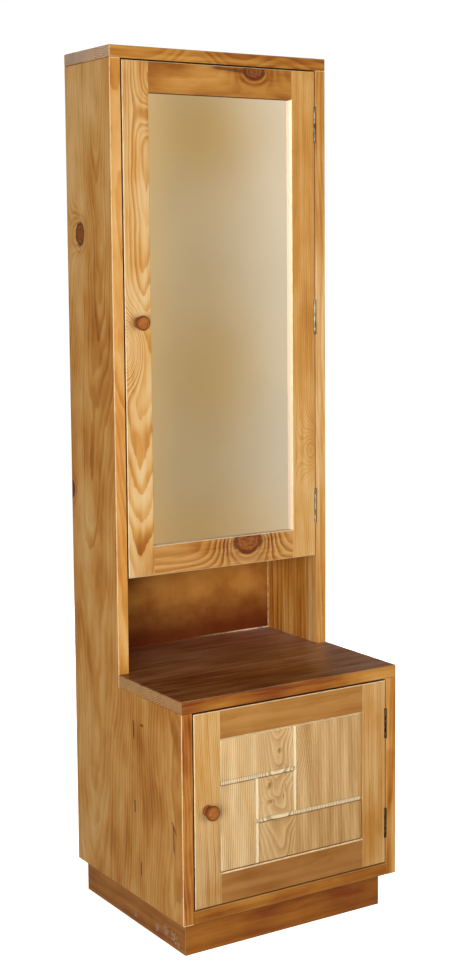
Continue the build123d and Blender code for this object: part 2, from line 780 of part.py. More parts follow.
with BuildPart() as lower_door_panel:
    block((-panel_half, panel_half), (front_y, tongue_y[1]), panel_edges_z)
    chamfer(edges_at(lower_door_panel, Axis.Y, front_y), length=panel_arris)
    block(
        (-stile_inner_x - tongue_length, stile_inner_x + tongue_length),
        tongue_y,
        (panel_z[0] - tongue_length, panel_z[1] + tongue_length),
    )
    for x, (z0, z1) in upright_starts.items():
        with BuildSketch(Plane.XY.offset(z0)):
            with BuildLine():
                coved_section(x, depth_axis_first=False)
            make_face()
        extrude(amount=z1 - z0, mode=Mode.SUBTRACT)
    for z, (x0, x1) in level_starts.items():
        with BuildSketch(Plane.YZ.offset(x0)):
            with BuildLine():
                coved_section(z, depth_axis_first=True)
            make_face()
        extrude(amount=x1 - x0, mode=Mode.SUBTRACT)
save(lower_door_panel.part, "lower_door_panel")

# ---- knobs and their screws ----
knobs = {
    "mirror_door_knob": (upper_front_y, mirror_knob_z),
    "lower_door_knob": (front_y, lower_knob_z),
}

with BuildPart() as knob_turning:
    # Half of the turned outline: collar, cove, flared neck, rounded rim and a shallow dome.
    face_height = knob_reach - knob_dome_rise
    dome_radius = (knob_face_radius**2 + knob_dome_rise**2) / (2 * knob_dome_rise)
    dome_middle = knob_face_radius / 2
    dome_middle_height = knob_reach - dome_radius + (dome_radius**2 - dome_middle**2) ** 0.5
    collar_edge = (knob_collar_radius, knob_collar_height)
    neck = (knob_neck_radius, knob_neck_height)
    with BuildSketch(Plane.XZ):
        with BuildLine():
            Line((0, 0), (knob_collar_radius, 0))
            Line((knob_collar_radius, 0), collar_edge)
            ThreePointArc(collar_edge, (9.3, 5.0), neck)
            ThreePointArc(neck, (10.0, 14.0), (knob_face_radius, knob_rim_start))
            ThreePointArc(
                (knob_face_radius, knob_rim_start),
                (knob_radius, (knob_rim_start + face_height) / 2),
                (knob_face_radius, face_height),
            )
            ThreePointArc(
                (knob_face_radius, face_height),
                (dome_middle, dome_middle_height),
                (0, knob_reach),
            )
            Line((0, knob_reach), (0, 0))
        make_face()
    revolve(axis=Axis.Z)
    Cylinder(
        knob_screw_radius + fixing_clearance,
        2 * (knob_screw_grip + 1),
        mode=Mode.SUBTRACT,
    )

with BuildPart() as knob_screw_turning:
    # A pan-head screw: the head's underside is at z = 0 and the shank runs up.
    head_radius, head_height = knob_screw_head
    Cylinder(head_radius, head_height, align=(Align.CENTER, Align.CENTER, Align.MAX))
    fillet(knob_screw_turning.edges().sort_by(Axis.Z)[0], radius=1.2)
    with BuildSketch(Plane.XY.offset(-head_height)):
        Rectangle(5, 1)
        Rectangle(1, 5)
    extrude(amount=1.2, mode=Mode.SUBTRACT)
    Cylinder(
        knob_screw_radius,
        door_thickness + knob_screw_grip,
        align=(Align.CENTER, Align.CENTER, Align.MIN),
    )

for name, (y, z) in knobs.items():
    with BuildPart() as knob:
        with Locations(facing((knob_x, y, z), (0, -1, 0))):
            add(knob_turning.part)
    save(knob.part, name)

    with BuildPart() as knob_screw:
        with Locations(facing((knob_x, y + door_thickness, z), (0, -1, 0))):
            add(knob_screw_turning.part)
    save(knob_screw.part, f"{name}_screw")
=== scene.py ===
import math

import bpy
import numpy as np
from mathutils import Matrix, Vector


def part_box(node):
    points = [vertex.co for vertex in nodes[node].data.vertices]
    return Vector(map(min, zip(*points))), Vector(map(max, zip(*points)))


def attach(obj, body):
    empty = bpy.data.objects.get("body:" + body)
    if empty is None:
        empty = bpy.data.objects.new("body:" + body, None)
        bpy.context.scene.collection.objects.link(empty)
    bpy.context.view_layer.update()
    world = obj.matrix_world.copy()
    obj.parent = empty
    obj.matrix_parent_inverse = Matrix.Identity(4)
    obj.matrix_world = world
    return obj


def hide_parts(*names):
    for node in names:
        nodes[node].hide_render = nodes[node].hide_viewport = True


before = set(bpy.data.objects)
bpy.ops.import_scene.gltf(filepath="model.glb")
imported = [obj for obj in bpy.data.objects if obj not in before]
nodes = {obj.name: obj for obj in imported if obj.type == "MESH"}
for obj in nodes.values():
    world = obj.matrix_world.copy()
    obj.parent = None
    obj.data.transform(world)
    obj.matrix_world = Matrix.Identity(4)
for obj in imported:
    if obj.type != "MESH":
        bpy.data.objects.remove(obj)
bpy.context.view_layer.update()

MM = 0.001


# ---- camera ----
def aim(location, yaw, pitch, roll):
    """A camera's matrix: it looks along its own -Z, turned right by yaw, up by pitch and then rolled."""
    forward = Vector((math.sin(yaw) * math.cos(pitch), math.cos(yaw) * math.cos(pitch), math.sin(pitch)))
    right = Vector((math.cos(yaw), -math.sin(yaw), 0))
    up = right.cross(forward)
    right, up = (
        math.cos(roll) * right + math.sin(roll) * up,
        math.cos(roll) * up - math.sin(roll) * right,
    )
    matrix = Matrix((right, up, -forward)).transposed().to_4x4()
    matrix.translation = Vector(location)
    return matrix


CAMERA_PLACE = (-1.8205, -2.8691, 1.3797)
CAMERA_YAW = 0.5655  # radians to the right of straight ahead
CAMERA_PITCH = -0.10602
CAMERA_ROLL = -0.00788
LENS_LENGTH = 60.35  # millimetres
SENSOR_WIDTH = 36.0
FRAMING_SHIFT = (-0.0092, -0.0581)

camera_data = bpy.data.cameras.new("camera")
camera_data.lens = LENS_LENGTH
camera_data.sensor_width = SENSOR_WIDTH
camera_data.shift_x, camera_data.shift_y = FRAMING_SHIFT
camera = bpy.data.objects.new("camera", camera_data)
camera.matrix_world = aim(CAMERA_PLACE, CAMERA_YAW, CAMERA_PITCH, CAMERA_ROLL)
bpy.context.scene.collection.objects.link(camera)
bpy.context.scene.camera = camera


# ---- shader nodes written as arithmetic ----
def srgb(r, g, b):
    """A colour given as 0-255 display values."""
    values = [v / 255 for v in (r, g, b)]
    linear = [v / 12.92 if v <= 0.04045 else ((v + 0.055) / 1.055) ** 2.4 for v in values]
    return (*linear, 1.0)


class Term:
    """One value of a material: it can be added, multiplied and so on like a number."""

    def __init__(self, graph, socket):
        self.graph = graph
        self.socket = socket

    def __add__(self, other):
        return self.graph.math("ADD", self, other)

    def __sub__(self, other):
        return self.graph.math("SUBTRACT", self, other)

    def __mul__(self, other):
        return self.graph.math("MULTIPLY", self, other)

    def __truediv__(self, other):
        return self.graph.math("DIVIDE", self, other)

    def __rsub__(self, other):
        return self.graph.math("SUBTRACT", other, self)

    __radd__ = __add__
    __rmul__ = __mul__


class Graph:
    """A material and the tools that build its nodes."""

    def __init__(self, name):
        self.material = bpy.data.materials.new(name)
        self.material.use_nodes = True
        self.tree = self.material.node_tree
        self.tree.nodes.clear()
        self.shader = self.node("ShaderNodeBsdfPrincipled")
        output = self.node("ShaderNodeOutputMaterial")
        self.tree.links.new(self.shader.outputs[0], output.inputs["Surface"])
        self.place = self.node("ShaderNodeTexCoord")
        in_mm = self.node("ShaderNodeVectorMath", operation="SCALE")
        self.tree.links.new(self.place.outputs["Object"], in_mm.inputs[0])
        in_mm.inputs["Scale"].default_value = 1 / MM
        self.mm = in_mm.outputs[0]

    def node(self, kind, **settings):
        made = self.tree.nodes.new(kind)
        for key, value in settings.items():
            setattr(made, key, value)
        return made

    def feed(self, socket, value):
        if isinstance(value, Term):
            self.tree.links.new(value.socket, socket)
        else:
            socket.default_value = value

    def math(self, operation, *values):
        made = self.node("ShaderNodeMath", operation=operation)
        for socket, value in zip(made.inputs, values):
            self.feed(socket, value)
        return Term(self, made.outputs[0])

    def split(self, socket):
        made = self.node("ShaderNodeSeparateXYZ")
        self.tree.links.new(socket, made.inputs[0])
        return [Term(self, out) for out in made.outputs]

    def smooth(self, value, low, high):
        """0 below low, 1 above high, with a soft step between them. Low may be above high."""
        made = self.node("ShaderNodeMapRange", interpolation_type="SMOOTHSTEP")
        flip = low > high
        given = (value, min(low, high), max(low, high), float(flip), float(not flip))
        for socket, term in zip(made.inputs, given):
            self.feed(socket, term)
        return Term(self, made.outputs[0])

    def noise(self, size, offset=0.0, detail=1.0, rough=0.5):
        """Noise about 0 whose features are about size = (x, y, z) millimetres."""
        moved = self.node("ShaderNodeVectorMath", operation="MULTIPLY_ADD")
        self.tree.links.new(self.mm, moved.inputs[0])
        moved.inputs[1].default_value = [1 / s for s in size]
        moved.inputs[2].default_value = (offset, offset * 1.7, offset * 2.3)
        made = self.node("ShaderNodeTexNoise")
        self.tree.links.new(moved.outputs[0], made.inputs["Vector"])
        made.inputs["Scale"].default_value = 1.0
        made.inputs["Detail"].default_value = detail
        made.inputs["Roughness"].default_value = rough
        return (Term(self, made.outputs[0]) - 0.5) * 2.0

    def random(self, value):
        """A fixed random number from 0 to 1 for each whole number."""
        made = self.node("ShaderNodeTexWhiteNoise", noise_dimensions="1D")
        self.feed(made.inputs["W"], value)
        return Term(self, made.outputs[0])

    def mix(self, factor, a, b, blend="MIX"):
        made = self.node("ShaderNodeMix", data_type="RGBA", blend_type=blend)
        for socket, value in zip((made.inputs[0], made.inputs[6], made.inputs[7]), (factor, a, b)):
            self.feed(socket, value)
        return Term(self, made.outputs[2])

    def scale(self, colour, factor):
        made = self.node("ShaderNodeVectorMath", operation="SCALE")
        self.feed(made.inputs[0], colour)
        self.feed(made.inputs["Scale"], factor)
        return Term(self, made.outputs[0])

    def bump(self, height, depth_mm):
        made = self.node("ShaderNodeBump")
        made.inputs["Strength"].default_value = 1.0
        made.inputs["Distance"].default_value = depth_mm * MM
        self.feed(made.inputs["Height"], height)
        self.tree.links.new(made.outputs[0], self.shader.inputs["Normal"])

    def spot(self, u, v):
        """A soft round spot: 1 in the middle, fading with the distance (u, v)."""
        return self.math("EXPONENT", (u * u + v * v) * -1.0)

    def finish(self, colour, roughness, metallic=0.0, coat=0.0, coat_roughness=0.2, specular=0.5):
        self.feed(self.shader.inputs["Base Color"], colour)
        self.feed(self.shader.inputs["Roughness"], roughness)
        self.shader.inputs["Metallic"].default_value = metallic
        self.shader.inputs["Coat Weight"].default_value = coat
        self.shader.inputs["Coat Roughness"].default_value = coat_roughness
        self.shader.inputs["Specular IOR Level"].default_value = specular
        return self.material


def dress(names, material):
    """Give CAD nodes a material."""
    for name in [names] if isinstance(names, str) else names:
        mesh = nodes[name].data
        mesh.materials.clear()
        mesh.materials.append(material)


AXIS = {"x": 0, "y": 1, "z": 2}
# Varnished pine from its darkest streaks to its palest, limed wood.
PINE_TONES = ((0.0, srgb(118, 48, 6)), (0.2, srgb(161, 95, 24)), (0.4, srgb(192, 130, 52)),
              (0.55, srgb(209, 149, 72)), (0.7, srgb(220, 169, 98)), (0.85, srgb(230, 186, 126)),
              (1.0, srgb(242, 203, 150)))
# Of the colours below, the arrises' pale is partly wear and partly a painted highlight, the bare colour
# is unstained wood whose pale is partly a painted highlight, and the shadow colour is painted shade.
PALE = srgb(252, 226, 178)
CREAM = srgb(226, 196, 150)
BARE = srgb(238, 214, 188)
SHADOW = srgb(80, 24, 3)
KNOT = srgb(188, 112, 44)
KNOT_EDGE = srgb(92, 34, 2)
CRACK = srgb(104, 46, 12)
SCUFF = srgb(214, 180, 150)
END_RING = 4.6  # millimetres between the rings drawn on end grain
END_PITH = (-70.0, 120.0)  # where those rings' centre lies, across and through the board
PINE_ROUGHNESS = 0.42
PINE_RELIEF = 0.25  # millimetres

# The brushed panel is paler and greyer.
PANEL_TONES = ((0.0, srgb(138, 92, 38)), (0.25, srgb(180, 133, 74)), (0.5, srgb(207, 165, 109)),
               (0.75, srgb(227, 192, 138)), (1.0, srgb(246, 219, 170)))


def pine_tone(g, tone, tones=PINE_TONES):
    """The colour of a tone from 0, the darkest, to 1, the palest."""
    ramp = g.node("ShaderNodeValToRGB")
    stops = ramp.color_ramp.elements
    while len(stops) < len(tones):
        stops.new(1.0)
    for stop, (position, colour) in zip(stops, tones):
        stop.position = position
        stop.color = colour
    g.feed(ramp.inputs[0], tone)
    return Term(g, ramp.outputs[0])


def knot_marks(g, square, darkness, shiver):
    """What one knot paints, from its squared distance: core, dark edges, stain round it, outer ring."""
    reach = g.math("SQRT", square) + shiver * 0.22
    core = g.smooth(reach, 1.12, 0.9)
    inner = g.smooth(g.math("SINE", reach * 15.0 + shiver * 4.0), 0.0, 0.9) * 0.4 + darkness
    inner = inner + g.smooth(shiver, 0.1, 0.5) * 0.3
    rim = g.smooth(reach, 0.62, 0.9) * g.smooth(reach, 1.35, 1.0)
    edge = g.math("MAXIMUM", inner * g.smooth(reach, 1.1, 0.9), rim * (0.5 + darkness))
    halo = g.math("EXPONENT", square * -0.25)
    outer = (reach - 1.8) * 5.0
    return core, edge, halo, g.math("EXPONENT", outer * outer * -1.0)


def drawn_arris(g, places, from_middle, half, back, step, rub):
    """1 along a board's arrises, worked out from its box and its step instead of its mesh."""
    depths = [half[i] - g.math("ABSOLUTE", from_middle[i]) for i in range(3)]
    if step:
        height, lower_front, upper_front = step
        front = g.math("GREATER_THAN", places[2], height) * (upper_front - lower_front) + lower_front
        depths[1] = g.math("MINIMUM", places[1] - front, back - places[1])
    lesser = g.math("MINIMUM", depths[0], depths[1])
    greater = g.math("MAXIMUM", depths[0], depths[1])
    from_arris = g.math("MAXIMUM", lesser, g.math("MINIMUM", greater, depths[2]))
    return g.smooth(from_arris + rub * 0.9, 1.7, 0.7)


def pine(
    name,
    axes,
    box,
    pith=(70.0, 30.0),
    spacing=4.5,
    waver=2.0,
    tilt=(0.0, 0.0),
    wander=(10.0, 8.0),
    pale=0.5,
    contrast=0.5,
    streak=0.35,
    blotch=0.3,
    tint=(1.0, 1.0, 1.0),
    knots=(),
    swirls=(),
    cracks=(),
    seams=(),
    piths=(),
    scuffs=(),
    streak_size=(260, 11),
    washes=(),
    dark_faces=(),
    bare_faces=(),
    gap_axes=(),
    cream=0.0,
    side_tone=0.0,
    tint_top=False,
    step=None,
    lined=False,
    worn=0.9,
    worn_below=1.0,
    end_tone=0.6,
    end_colour=None,
    seed=0.0,
):
    """Varnished pine sawn from a log. Lengths are millimetres, from the board's middle where not said.

    axes      the grain's direction, the face's width and its thickness
    pith      where the rings' centre lies across and through the board; tilt is its lean along the
              board, wander how far it strays, spacing the width of a ring and waver its ripple
    pale      the mean tone; contrast, streak and blotch are how much late wood, long streaks and
              clouds change it; cream is how far the early wood is limed
    tint      a colour the wood is multiplied by, on its upper faces only if tint_top; there it is
          painted shade, and a painted sheen where its blue is raised
    knots     (along, across, half length, half width, rings it adds, how dark it is)
    swirls    (along, across, half length, half width, rings it adds)
    cracks    (along, across, along, across, width)
    seams     where the glued boards meet; piths, if given, is the pith of each of those boards
    scuffs    pale marks (along, across, half size)
    washes  (axis, start, full, change of tone), perhaps with the axis its faces look
          along; start and full are in the row frame; they are partly stain and partly painted light
          and shade
    dark_faces  (axis, sign) of faces that see no light, painted with shade, perhaps with the two
             y values between which the shade fades in; bare_faces are those with no
             stain, pale partly as a painted highlight
    gap_axes  (axis, sign) of faces whose arrises aren't painted pale
    step      (height, y of the front edge below it, y above it) for an L-shaped board
    lined     draws the pale arrises from the board's box instead of the mesh's own
    """
    g = Graph(name)
    order = [AXIS[letter] for letter in axes]
    low, high = [corner / MM for corner in box]
    centre = (low + high) / 2
    half = (high - low) / 2
    places = g.split(g.mm)
    from_middle = [places[i] - centre[i] for i in range(3)]
    a, b, c = [from_middle[i] for i in order]
    normal = g.split(g.place.outputs["Normal"])
    upward = g.smooth(normal[2], 0.5, 0.8)

    def size(along, across, through):
        values = [0.0] * 3
        for i, value in zip(order, (along, across, through)):
            values[i] = value
        return values

    def squared_reach(along, across, half_length, half_width):
        u = (a - along) / half_length
        v = (b - across) / half_width
        return u * u + v * v

    def facing(axis, sign, low_share=0.8, high_share=0.95):
        return g.smooth(normal[AXIS[axis]] * float(sign), low_share, high_share)

    def looking_along(axis):
        return g.smooth(g.math("ABSOLUTE", normal[AXIS[axis]]), 0.8, 0.95)

    # The pith of the glued board that this point is in.
    board_tone = pale
    if seams:
        count = float(seed)
        for seam in seams:
            count = g.math("GREATER_THAN", b, seam) + count
    if piths:
        (first_b, first_c), (second_b, second_c) = piths
        second = count - seed
        pith_b = b - (second * (second_b - first_b) + first_b)
        pith_c = c - (second * (second_c - first_c) + first_c)
    elif seams:
        chance = g.random(count)
        pith_b = b - (chance - 0.5) * (2.4 * pith[0])
        pith_c = c - (g.random(count + 17.3) * 0.8 + 0.6) * pith[1]
        board_tone = chance * 0.3 + (pale - 0.15)
    else:
        pith_b, pith_c = b - pith[0], c - pith[1]
    pith_b = pith_b + a * tilt[0] + g.noise(size(420, 160, 160), seed + 3.1) * wander[0]
    pith_c = pith_c + a * tilt[1] + g.noise(size(330, 120, 120), seed + 7.7) * wander[1]

    # The rings, pushed outwards round each knot and swirl.
    radius = g.math("SQRT", pith_b * pith_b + pith_c * pith_c)
    ripple = g.noise(size(90, 22, 22), seed + 1.3, 2.0)
    phase = (radius + ripple * waver) / spacing
    spots = None
    shiver = g.noise((9, 9, 9), seed + 5.0, 2.0) if knots else None
    for *place, rings, darkness in knots:
        square = squared_reach(*place)
        phase = phase + g.math("EXPONENT", square * -0.22) * rings
        found = knot_marks(g, square, darkness, shiver)
        spots = found if spots is None else [g.math("MAXIMUM", x, y) for x, y in zip(spots, found)]
    for *place, rings in swirls:
        phase = phase + g.math("EXPONENT", squared_reach(*place) * -1.0) * rings
    weight = g.random(g.math("FLOOR", phase) + seed * 11.0)
    part = g.math("FRACT", phase)
    latewood = g.smooth(part, 0.15, 0.8) * g.smooth(part, 1.0, 0.92) * (weight * 0.7 + 0.3)

    # The tone, from the rings, the fibres, the streaks, the clouds and the washes, which are partly
    # stain and partly painted light and shade.
    fibre = g.noise(size(34, 1.0, 1.0), seed + 9.0, 2.0)
    length, width = streak_size
    coarse = g.noise(size(length, width, width), seed + 2.0, 3.0)
    if tint_top:
        coarse = coarse * (upward * 0.65 + 0.35)
    cloud = g.noise(size(150, 60, 60), seed + 4.0, 3.0)
    strength = spots[2] * 0.5 + contrast if knots else contrast
    tone = latewood * -1.0 * strength + fibre * 0.1 + coarse * streak + cloud * blotch
    tone = tone + board_tone + 0.3 * contrast
    for axis, start, full, change, *faces in washes:
        wash = g.smooth(places[AXIS[axis]] + cloud * 60.0, start, full) * change
        for face in faces:
            wash = wash * looking_along(face)
        tone = tone + wash
    # Faces looking along x are made lighter or darker: painted light and shade.
    if side_tone:
        tone = looking_along("x") * side_tone + tone
    if knots:
        tone = tone - spots[2] * 0.1 - spots[3] * 0.12

    # The colour, and what is painted over it.
    colour = pine_tone(g, tone)
    if cream:
        limed = (1.0 - latewood) * g.smooth(cloud + coarse * 0.5, -0.5, 0.4)
        colour = g.mix(limed * cream, colour, CREAM)
    # On the upper faces only, the tint is painted shade, and its raised blue a painted sheen.
    if tint != (1.0, 1.0, 1.0):
        colour = g.mix(upward if tint_top else 1.0, colour, (*tint, 1.0), "MULTIPLY")
    if knots:
        colour = g.mix(spots[0] * 0.9, colour, KNOT)
        colour = g.mix(g.math("MINIMUM", spots[1], 1.0) * 0.9, colour, KNOT_EDGE)
    for start_a, start_b, end_a, end_b, width in cracks:
        share = (a - start_a) / (end_a - start_a)
        inside = g.smooth(share, 0.0, 0.25) * g.smooth(share, 1.0, 0.98)
        offset = g.math("ABSOLUTE", b - (share * (end_b - start_b) + start_b) + ripple * 1.5)
        colour = g.mix(g.smooth(offset, width, width * 0.3) * inside * 0.85, colour, CRACK)
    for seam in seams:
        line = g.smooth(g.math("ABSOLUTE", b - seam), 0.9, 0.3)
        colour = g.mix(line * 0.4, colour, KNOT_EDGE)
    rub = g.noise((22, 22, 22), seed + 6.0, 3.0)
    for along, across, reach in scuffs:
        near = g.spot((a - along) / reach, (b - across) / reach)
        scraped = g.smooth(near + g.noise((5, 5, 5), seed + 8.0, 3.0) * 0.9, 0.7, 1.2)
        colour = g.mix(scraped * 0.6, colour, SCUFF)

    # The end grain, with rings round a far pith.
    ends = g.smooth(g.math("ABSOLUTE", normal[order[0]]), 0.75, 0.95)
    colour = g.scale(colour, 1.0 - ends * (1.0 - end_tone))
    if end_colour:
        colour = g.mix(ends * 0.7, colour, end_colour)
    end_b, end_c = b - END_PITH[0], c - END_PITH[1]
    end_radius = g.math("SQRT", end_b * end_b + end_c * end_c)
    end_rings = g.math("FRACT", end_radius / END_RING + ripple * 0.4)
    colour = g.mix(g.smooth(end_rings, 0.1, 0.7) * ends * (0.45 + rub * 0.3), colour, KNOT_EDGE)

    # The arrises, pale from wear and partly a painted highlight, less pale facing down as painted shade;
    # then the faces with no stain, pale partly as a painted highlight, and the faces with no light,
    # painted with shade.
    if lined:
        arris = drawn_arris(g, places, from_middle, half, high[1], step, rub)
    else:
        sides = [g.math("ABSOLUTE", n) for n in normal]
        flattest = g.math("MAXIMUM", g.math("MAXIMUM", sides[0], sides[1]), sides[2])
        arris = g.smooth(flattest, 0.96, 0.85)
    for axis, sign in gap_axes:
        arris = arris * facing(axis, sign, 0.4, 0.2)
    # Arrises facing down keep only this share of their pale: painted shade.
    if worn_below < 1.0:
        arris = arris * (g.smooth(normal[2], -0.5, -0.2) * (1.0 - worn_below) + worn_below)
    colour = g.mix(arris * (g.smooth(rub, -0.4, 0.2) * 0.4 + 0.6) * worn, colour, PALE)
    for axis, sign in bare_faces:
        colour = g.mix(facing(axis, sign) * 0.85, colour, BARE)
    gloss = fibre * 0.06 + PINE_ROUGHNESS
    for axis, sign, *span in dark_faces:
        unlit = facing(axis, sign)
        if span:
            unlit = unlit * g.smooth(places[1], *span)
        colour = g.mix(unlit * 0.9, colour, SHADOW)
        gloss = unlit * 0.5 + gloss
    g.bump(latewood * -0.7 + fibre * 0.3, PINE_RELIEF)
    return g.finish(colour, gloss, coat=0.12, coat_roughness=0.28, specular=0.35)


def board(name, axes, **settings):
    """A CAD node that is one pine board, with its own grain."""
    dress(name, pine(name + "_pine", axes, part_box(name), **settings))


# ---- carcass ----
LEFT_EDGE, RIGHT_EDGE, TOP_EDGE, BOTTOM_EDGE = ("x", -1), ("x", 1), ("z", 1), ("z", -1)
counter_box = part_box("counter_top")
front_y = counter_box[0].y / MM
upper_front_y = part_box("mirror_door_knob_stile")[0].y / MM
side_step = (counter_box[0].z / MM, front_y, upper_front_y)

board(
    "side_panel_left", "zyx", seed=1.0, spacing=8.5, waver=5.0, tilt=(0.03, 0.06), wander=(34, 30),
    seams=(-34,), piths=((-260, 70), (110, 46)),
    pale=0.6, contrast=0.24, streak=0.13, streak_size=(150, 30), blotch=0.48, cream=0.15,
    tint=(1.0, 0.875, 0.64), side_tone=-0.03,
    knots=((504, 166, 22, 16, 6.0, 0.45), (-34, 223, 17, 11, 4.0, 0.7)),
    cracks=(
        (-522, -33, -480, -33, 4.0),
        (-486, -67, -480, -67, 9.0),
        (-676, -35, -646, -35, 3.4),
        (-802, -58, -770, -59, 3.4),
        (-674, -203, -649, -185, 3.6),
        (-718, -192, -655, -190, 4.0),
    ),
    washes=(
        ("z", 1150, 1700, 0.2, "x"),
        ("y", 60, 215, 0.1, "x"),
        ("z", 600, 480, -0.28, "y"),
        ("z", 1150, 850, -0.04, "x"),
        ("z", 1500, 1760, -0.06, "y"),
        ("z", 950, 1150, 0.08, "y"),
        ("z", 520, 300, 0.04, "x"),
        ("z", 600, 480, -0.04, "y"),
    ),
    step=side_step, lined=True, gap_axes=(RIGHT_EDGE,),
)
board(
    "side_panel_right", "zyx", seed=2.0, pith=(60, 40), spacing=10.0, tilt=(0.01, 0.03), wander=(25, 20),
    seams=(-30, 60), pale=0.48, contrast=0.2, streak=0.5, streak_size=(260, 8),
    tint=(0.98, 0.93, 0.83), side_tone=0.16,
    washes=(("z", 1500, 1250, 0.24), ("z", 950, 580, -0.3), ("z", 600, 480, -0.1, "y")),
    step=side_step, lined=True, gap_axes=(LEFT_EDGE,),
)
board(
    "top_panel", "xyz", seed=3.0, pith=(20, 45), spacing=8.0, seams=(10,), pale=0.28, contrast=0.22,
    swirls=((-62, -99, 62, 60, 3.6), (150, -99, 60, 60, 1.6)),
    washes=(("x", -200, 60, -0.12),), tint=(1.0, 0.98, 0.82),
    end_tone=1.28, end_colour=srgb(250, 220, 186), worn=0.7, lined=True, gap_axes=(BOTTOM_EDGE,),
    dark_faces=((*BOTTOM_EDGE, upper_front_y + 34, upper_front_y + 22),),
)
# Its top is tinted darker as painted shade with its blue raised as a painted sheen, and its lighter
# right end is a painted reflection.
board(
    "counter_top", "xyz", seed=4.0, pith=(40, 40), spacing=12.0, seams=(-60, 70), pale=0.3, contrast=0.1,
    streak=0.5, streak_size=(110, 8), washes=(("x", 60, 240, 0.3),), tint=(0.56, 0.54, 1.3),
    tint_top=True, end_tone=1.0, end_colour=srgb(236, 182, 118), worn=0.2, lined=True,
    gap_axes=(BOTTOM_EDGE,),
)
board(
    "bottom_panel", "xyz", seed=5.0, pith=(20, 60), spacing=12.0, pale=0.27, contrast=0.1, streak=0.16,
    worn=0.15,
)
board("mirror_cabinet_floor", "xyz", seed=6.0, pith=(20, 60), spacing=7.0, contrast=0.3)

plinth = {"pith": (10, 50), "spacing": 12.0, "contrast": 0.1}
board("plinth_front", "xzy", seed=7.0, pale=0.14, streak=0.1, blotch=0.18, **plinth)
board("plinth_back", "xzy", seed=8.0, pale=0.14, streak=0.16, **plinth)
board(
    "plinth_left", "yzx", seed=9.0, pale=0.26, streak=0.2, tint=(1.0, 0.94, 1.0),
    scuffs=((-5, -22, 12), (-98, -18, 18), (-132, -12, 24), (-164, -16, 24), (-180, -26, 14)), **plinth,
)
board("plinth_right", "yzx", seed=10.0, pale=0.26, streak=0.2, **plinth)

SHELVES = ("upper_shelf_lower", "upper_shelf_upper", "lower_cupboard_shelf")
for index, shelf in enumerate(SHELVES):
    board(shelf, "xyz", seed=11.0 + index, pith=(30, 50), spacing=8.0, seams=(0,), contrast=0.3)

# ---- mirror door ----
board(
    "mirror_door_knob_stile", "zxy", seed=21.0, pith=(14, 34), spacing=6.5, waver=4.0,
    tilt=(-0.03, 0.095), pale=0.66, contrast=0.36, streak=0.25, cream=0.62, tint=(1.0, 0.97, 0.87),
    swirls=((420, 30, 40, 26, 5.0), (-50, -30, 62, 34, 11.0)),
    washes=(("z", 860, 760, -0.2), ("z", 1600, 1760, -0.12), ("z", 1060, 940, 0.06)),
    gap_axes=(RIGHT_EDGE,), dark_faces=(LEFT_EDGE, TOP_EDGE),
)
# Its inner left edge and the bottom rail's top edge are bare and pale, partly as a painted highlight.
board(
    "mirror_door_hinge_stile", "zxy", seed=22.0, pith=(90, 30), spacing=4.2, tilt=(0.0, 0.02),
    pale=0.5, contrast=0.18, streak=0.2, blotch=0.35, swirls=((-290, 28, 60, 34, 12.0),),
    washes=(("z", 1300, 1000, 0.12), ("z", 980, 860, 0.1), ("z", 1550, 1750, 0.05)),
    bare_faces=(LEFT_EDGE,), dark_faces=(TOP_EDGE,),
)
board(
    "mirror_door_top_rail", "xzy", seed=23.0, pith=(30, 40), spacing=12.0, pale=0.31, contrast=0.12,
    streak=0.14, blotch=0.5, knots=((80, 24, 24, 15, 5.0, 0.6),), cracks=((-34, 28, 64, 22, 5.5),),
    gap_axes=(BOTTOM_EDGE,), dark_faces=(TOP_EDGE, BOTTOM_EDGE),
)
board(
    "mirror_door_bottom_rail", "xzy", seed=24.0, pith=(30, 40), spacing=8.0, pale=0.42, contrast=0.26,
    streak=0.2, cream=0.2, knots=((57, 19, 32, 23, 9.0, 0.45),), bare_faces=(TOP_EDGE,),
)

# ---- lower door ----
board(
    "lower_door_knob_stile", "zxy", seed=31.0, pith=(110, 20), spacing=3.6, tilt=(0.03, 0.0), pale=0.6,
    contrast=0.28, streak=0.1, blotch=0.16, cream=0.6, tint=(0.97, 0.99, 0.95), worn_below=0.25,
    washes=(("z", 330, 180, -0.24),), dark_faces=(LEFT_EDGE, TOP_EDGE, BOTTOM_EDGE),
)
board(
    "lower_door_hinge_stile", "zxy", seed=32.0, pith=(120, 20), spacing=3.6, pale=0.5, contrast=0.24,
    streak=0.1, blotch=0.25, cream=0.4, tint=(0.97, 0.98, 0.95), worn_below=0.25,
    gap_axes=(LEFT_EDGE,), dark_faces=(TOP_EDGE, BOTTOM_EDGE),
)
rail = {"pith": (30, 40), "spacing": 14.0, "pale": 0.42, "contrast": 0.1, "streak": 0.14, "blotch": 0.25}
board("lower_door_top_rail", "xzy", seed=33.0, tint=(0.8, 0.79, 0.9), dark_faces=(TOP_EDGE,), **rail)
board(
    "lower_door_bottom_rail", "xzy", seed=34.0, tint=(0.7, 0.67, 0.85), worn_below=0.25,
    dark_faces=(BOTTOM_EDGE,), **rail,
)

# The small pieces share one wood, whose box holds the whole unit.
room = (Vector((-0.3, -0.3, 0)), Vector((0.3, 0.3, 2)))
hidden_pine = pine("small_pine", "zxy", room, spacing=5.0, seed=41.0)
dress(["mirror_beads", "plinth_corner_blocks", "carcass_dowels"], hidden_pine)


# ---- the lower door's brushed panel: relief cut into a fine mesh ----
WAVES = 7  # crossed waves in one field of noise


def waves(x, z, size_x, size_z, seed):
    """Smooth noise about 0 from a few crossed waves."""
    random = np.random.default_rng(seed)
    total = np.zeros_like(x)
    for _ in range(WAVES):
        across, along = random.normal(size=2)
        total += np.sin(x * across / size_x * 2 + z * along / size_z * 2 + random.uniform(0, 6.28))
    return total / WAVES**0.5


